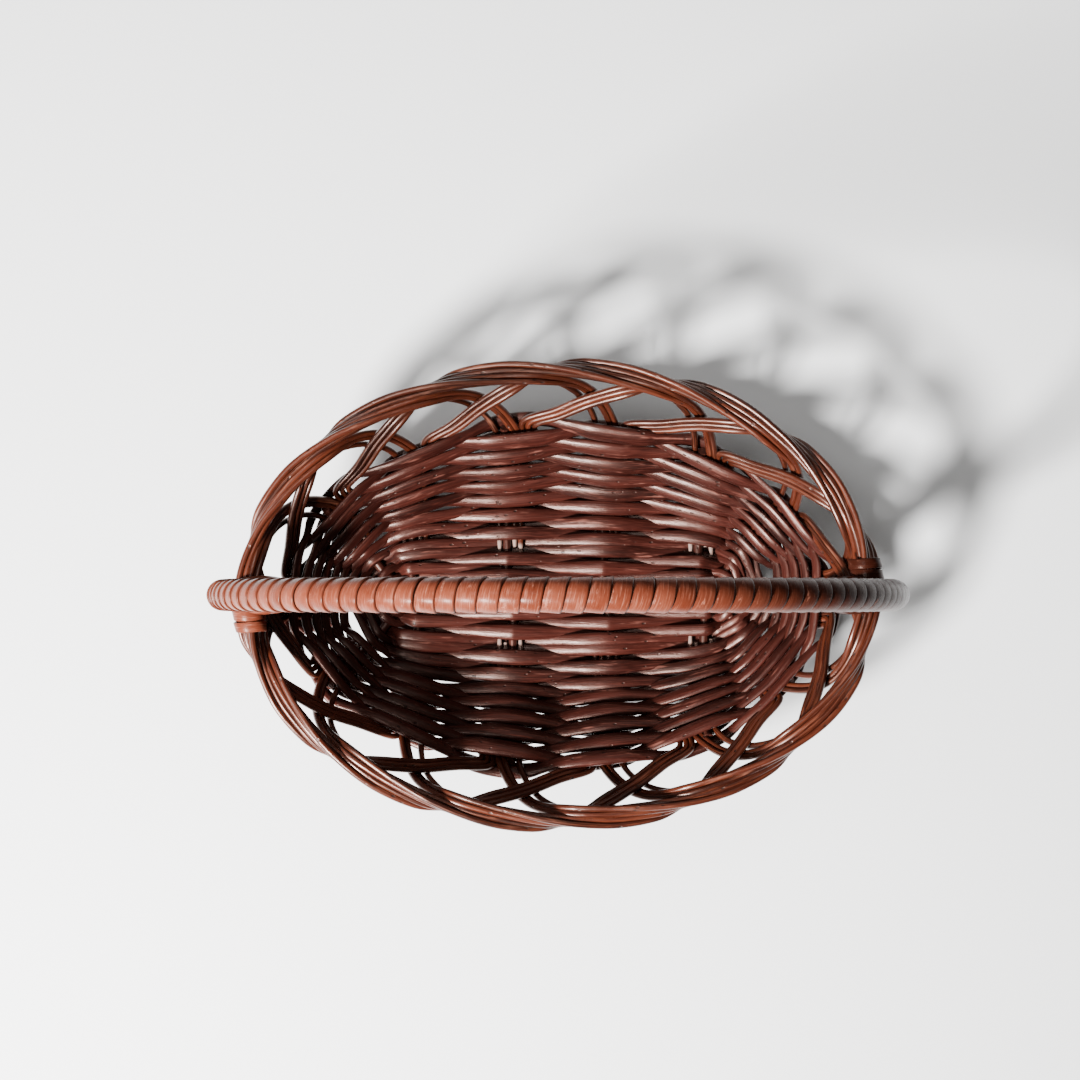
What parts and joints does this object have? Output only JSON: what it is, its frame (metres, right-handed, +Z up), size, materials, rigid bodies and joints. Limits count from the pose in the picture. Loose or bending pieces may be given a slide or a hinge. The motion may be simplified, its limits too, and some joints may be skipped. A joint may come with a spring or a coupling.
{
  "type": "woven fruit basket",
  "caption": "Oval woven willow fruit basket with sloping randed walls, open looped border rope and a fixed cane-wrapped hoop handle over its long axis.",
  "frame": {"origin": "centre of the basket's footprint at the underside of its foot ring", "axes": "+Z up, +X along the basket's length and the plane of its handle, +Y across it"},
  "size_m": [0.305, 0.2186, 0.2625],
  "materials": {
    "weavers": "dark reddish-brown stained and varnished willow, semi-gloss",
    "stakes": "reddish-brown stained and varnished willow, glossy on the rim",
    "base_rods": "dark reddish-brown stained willow with paler cut ends",
    "foot": "dark stained willow, planed flat underneath",
    "handle_core": "bare bent willow under the cane, stained where it shows",
    "handle_cane": "flat split cane, stained pinkish tan to dark brown, glossy varnish",
    "lashing_cane": "flat split cane, stained, glossy varnish",
    "nails": "dark oxidised steel"
  },
  "bodies": {
    "root": {"base_rod_long_1": "base_rods", "base_rod_long_2": "base_rods", "base_rod_long_3": "base_rods", "base_rod_short_1": "base_rods", "base_rod_short_2": "base_rods", "base_rod_short_3": "base_rods", "base_rod_short_4": "base_rods", "foot_ring": "foot", "handle_core": "handle_core", "handle_lashing_left": "lashing_cane", "handle_lashing_right": "lashing_cane", "handle_nails": "nails", "handle_wrap": "handle_cane", "side_stakes_01": "stakes", "side_stakes_02": "stakes", "side_stakes_03": "stakes", "side_stakes_04": "stakes", "side_stakes_05": "stakes", "side_stakes_06": "stakes", "side_stakes_07": "stakes", "side_stakes_08": "stakes", "side_stakes_09": "stakes", "side_stakes_10": "stakes", "side_stakes_11": "stakes", "side_stakes_12": "stakes", "side_stakes_13": "stakes", "side_stakes_14": "stakes", "weaver_row_01": "weavers", "weaver_row_02": "weavers", "weaver_row_03": "weavers", "weaver_row_04": "weavers", "weaver_row_05": "weavers", "weaver_row_06": "weavers", "weaver_row_07": "weavers", "weaver_row_08": "weavers", "weaver_row_09": "weavers", "weaver_row_10": "weavers", "weaver_row_11": "weavers", "weaver_row_12": "weavers", "weaver_row_13": "weavers", "weaver_row_14": "weavers", "weaver_row_15": "weavers", "weaver_row_16": "weavers", "weaver_row_17": "weavers", "weaver_row_18": "weavers", "weaver_row_19": "weavers"}
  },
  "joints": []
}
